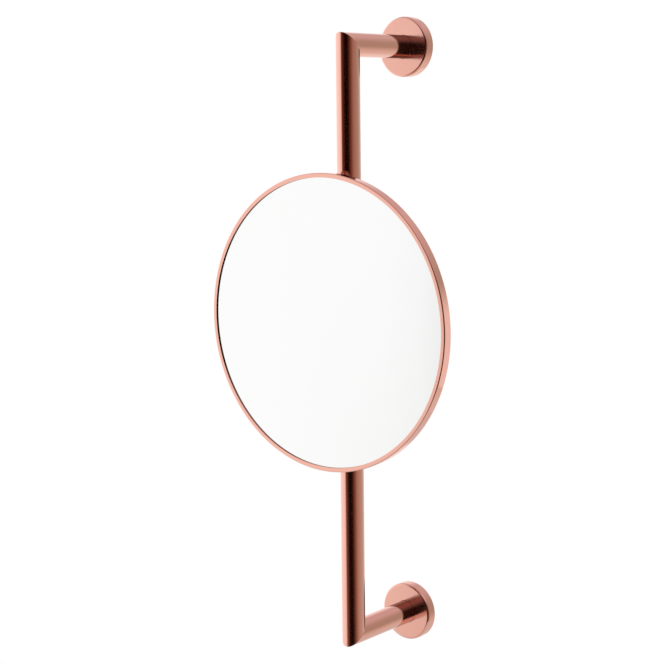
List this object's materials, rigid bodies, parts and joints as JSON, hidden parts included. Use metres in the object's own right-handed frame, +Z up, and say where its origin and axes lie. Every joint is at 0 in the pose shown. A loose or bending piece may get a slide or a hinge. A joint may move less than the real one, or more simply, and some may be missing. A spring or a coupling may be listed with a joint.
{
  "type": "wall make-up mirror on rail",
  "caption": "Round make-up mirror on a vertical wall rail: it slides, swivels and tilts, and a knob behind it clamps its height.",
  "frame": {"origin": "on the wall plane, midway between the two roses, at the centre of the four wall holes", "axes": "+X to the right along the wall seen from the room, +Y into the wall, +Z up along the rail"},
  "size_m": [0.2493, 0.1218, 0.5554],
  "materials": {
    "copper": "polished rose-copper plating",
    "plain_brass": "turned, unplated",
    "steel": "zinc-plated",
    "black_rubber": "matt",
    "nylon": "natural white nylon",
    "board": "dense foam board",
    "mirror": "silvered flat glass"
  },
  "bodies": {
    "wall_frame": {"rail_tube": "copper", "upper_arm": "copper", "lower_arm": "copper", "upper_rose": "copper", "lower_rose": "copper", "upper_wall_plate": "steel", "lower_wall_plate": "steel", "upper_arm_insert": "plain_brass", "lower_arm_insert": "plain_brass", "arm_grub_screws": "steel", "rose_grip_rings": "black_rubber"},
    "glides": {"upper_glide_bush": "nylon", "lower_glide_bush": "nylon"},
    "slider": {"slider_sleeve": "copper", "knob_snap_ring": "steel", "tilt_pin": "copper", "tilt_nut": "copper", "tilt_washers": "nylon"},
    "mirror_head": {"hub_plate": "copper", "hub_screws": "copper", "nut_plate": "steel", "back_cover": "copper", "backing_board": "board", "mirror_glass": "mirror", "bezel_ring": "copper"},
    "brake": {"brake_pad": "nylon", "clamp_screw": "steel"},
    "clamp": {"clamp_knob": "copper"}
  },
  "joints": [
    {"name": "height_slide", "type": "slide", "parent": "wall_frame", "child": "glides", "axis": [0, 0, 1], "range_m": [-0.242, 0.196]},
    {"name": "swivel", "type": "hinge", "parent": "glides", "child": "slider", "pos_m": [0, -0.0845, 0.023], "axis": [0, 0, 1], "range_deg": [-50, 50]},
    {"name": "tilt", "type": "hinge", "parent": "slider", "child": "mirror_head", "pos_m": [0, -0.1053, 0.023], "axis": [1, 0, 0], "range_deg": [-7, 7]},
    {"name": "brake_travel", "type": "slide", "parent": "slider", "child": "brake", "axis": [0, 1, 0], "range_m": [0, 0.00101]},
    {"name": "knob_turn", "type": "hinge", "parent": "slider", "child": "clamp", "pos_m": [0, -0.0645, 0.023], "axis": [0, 1, 0], "range_deg": [0, 360]}
  ],
  "couplings": [
    {"joint": "brake_travel", "follows": "knob_turn", "m_per_rad": 0.00015915}
  ]
}
